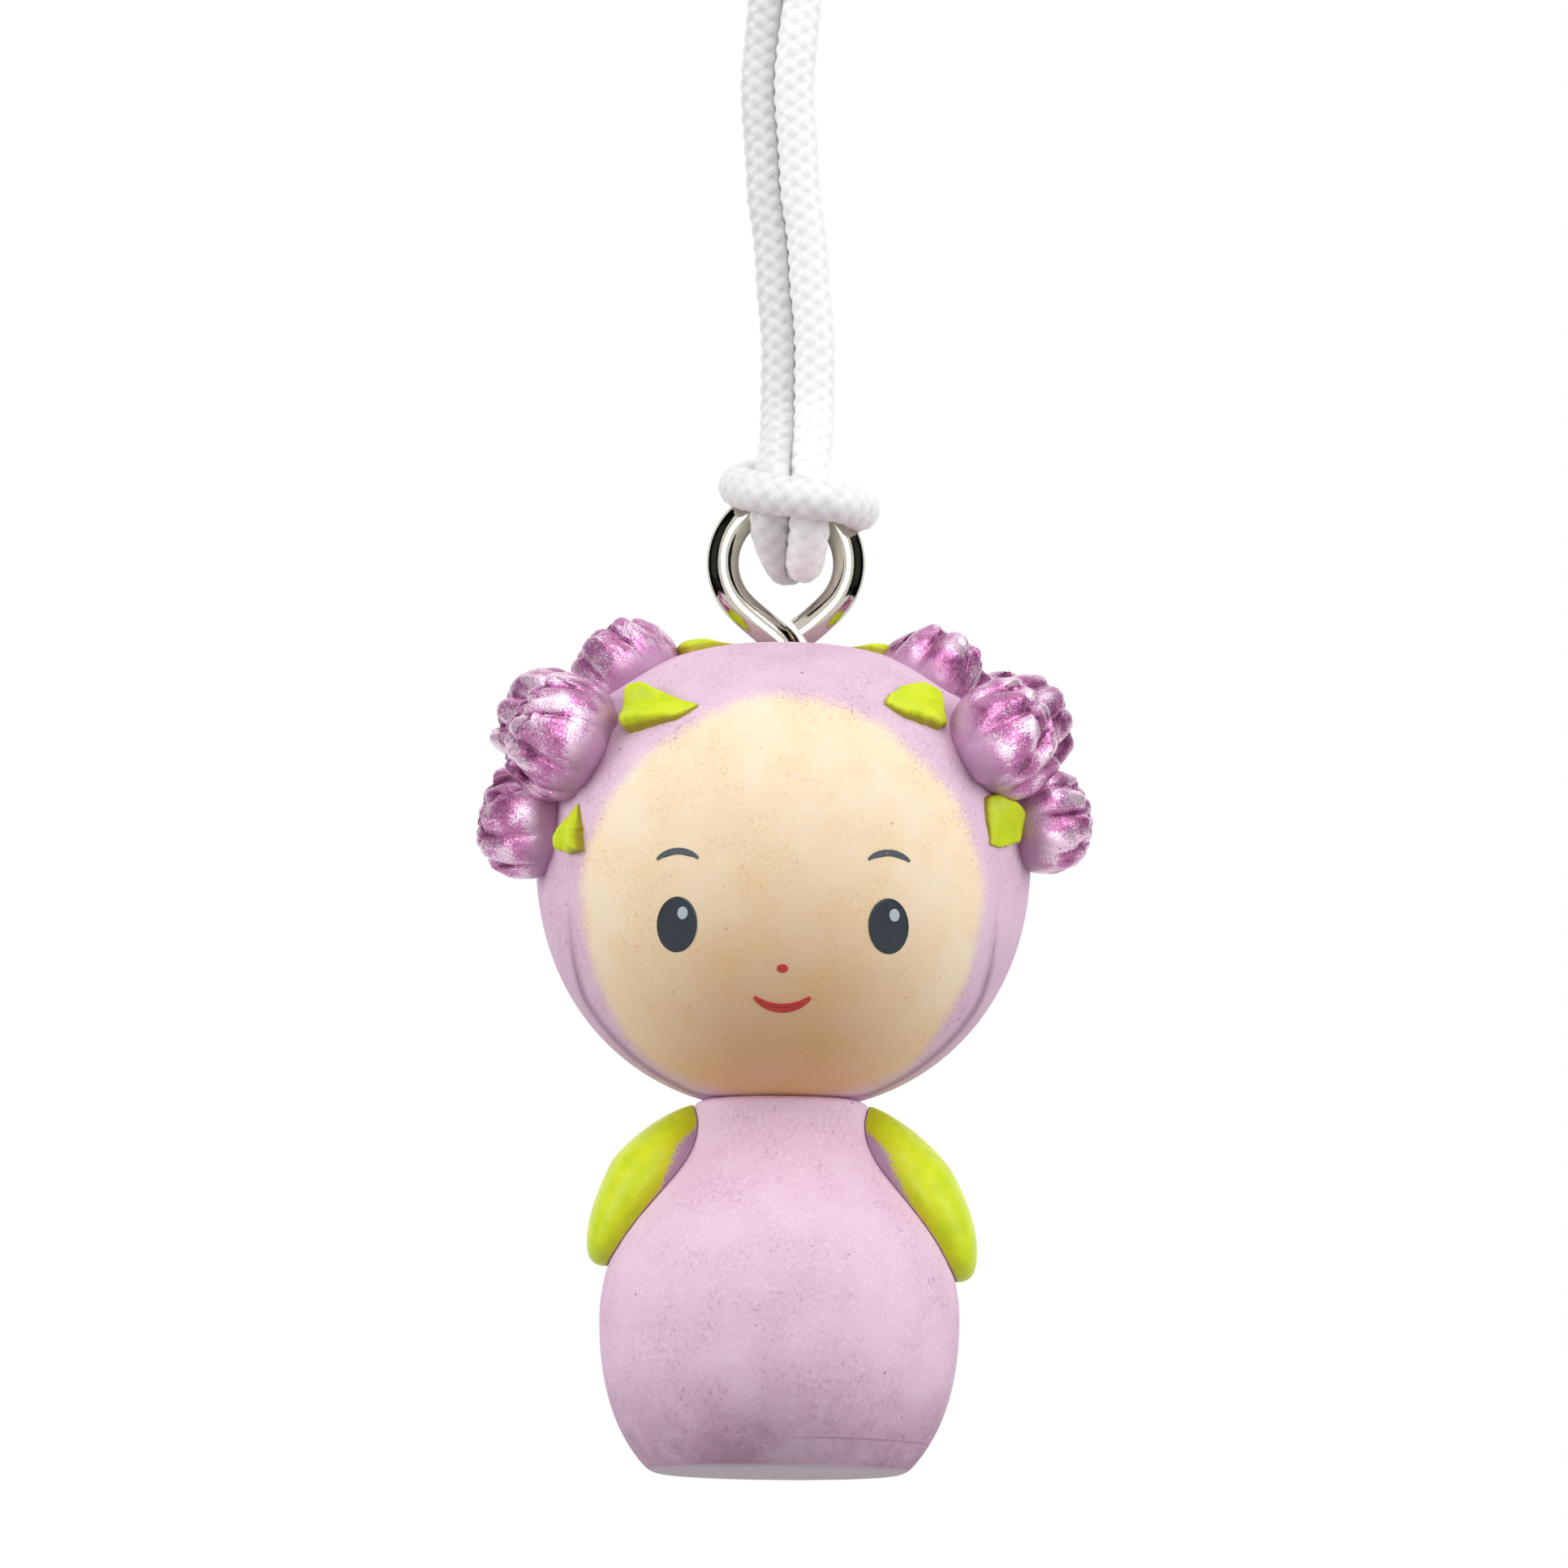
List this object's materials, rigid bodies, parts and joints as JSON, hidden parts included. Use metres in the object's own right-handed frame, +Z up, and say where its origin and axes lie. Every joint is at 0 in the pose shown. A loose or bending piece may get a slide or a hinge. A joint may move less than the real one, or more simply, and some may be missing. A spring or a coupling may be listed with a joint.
{
  "type": "keychain doll",
  "caption": "Small hanging doll with a hooded round head, side flower bunches, leaf-shaped arms and a bell body, carried by a looped cord hitched through a screw eye.",
  "frame": {"origin": "the point that the doll hangs from: inside the top of the cord's loop, just under its knot", "axes": "+Z up along the cord, -Y the way that the face looks, +X to the right of someone who looks at the face"},
  "size_m": [0.0242, 0.0193, 0.0714],
  "materials": {
    "lilac_paint": "matte lilac paint on cast resin, finely speckled",
    "skin_paint": "matte cream paint on cast resin",
    "pearl_paint": "pearlescent mauve paint on cast resin",
    "lime_paint": "glossy lime paint on cast resin",
    "beech": "plain turned beech",
    "nickel_plate": "bright nickel plate on steel wire",
    "white_nylon": "braided white nylon"
  },
  "bodies": {
    "strap": {"cord_left_strand": "white_nylon", "cord_right_strand": "white_nylon"},
    "hitch": {"cord_hitch": "white_nylon"},
    "doll": {"body": "lilac_paint", "head": "lilac_paint", "face": "skin_paint", "neck_dowel": "beech", "flower_left_top": "pearl_paint", "flower_left_front": "pearl_paint", "flower_left_back": "pearl_paint", "flower_left_low": "pearl_paint", "flower_right_top": "pearl_paint", "flower_right_front": "pearl_paint", "flower_right_back": "pearl_paint", "flower_right_low": "pearl_paint", "leaf_left_crest": "lime_paint", "leaf_left_brow": "lime_paint", "leaf_left_temple": "lime_paint", "leaf_right_crest": "lime_paint", "leaf_right_brow": "lime_paint", "leaf_right_temple": "lime_paint", "arm_left": "lime_paint", "arm_right": "lime_paint", "screw_eye": "nickel_plate"}
  },
  "joints": [
    {"name": "cord_twist", "type": "hinge", "parent": "strap", "child": "hitch", "pos_m": [0, 0, -0.0217], "axis": [0, 0, 1], "range_deg": [-180, 180]},
    {"name": "doll_swing", "type": "hinge", "parent": "hitch", "child": "doll", "pos_m": [0, 0, -0.0217], "axis": [1, 0, 0], "range_deg": [-45, 45]}
  ]
}
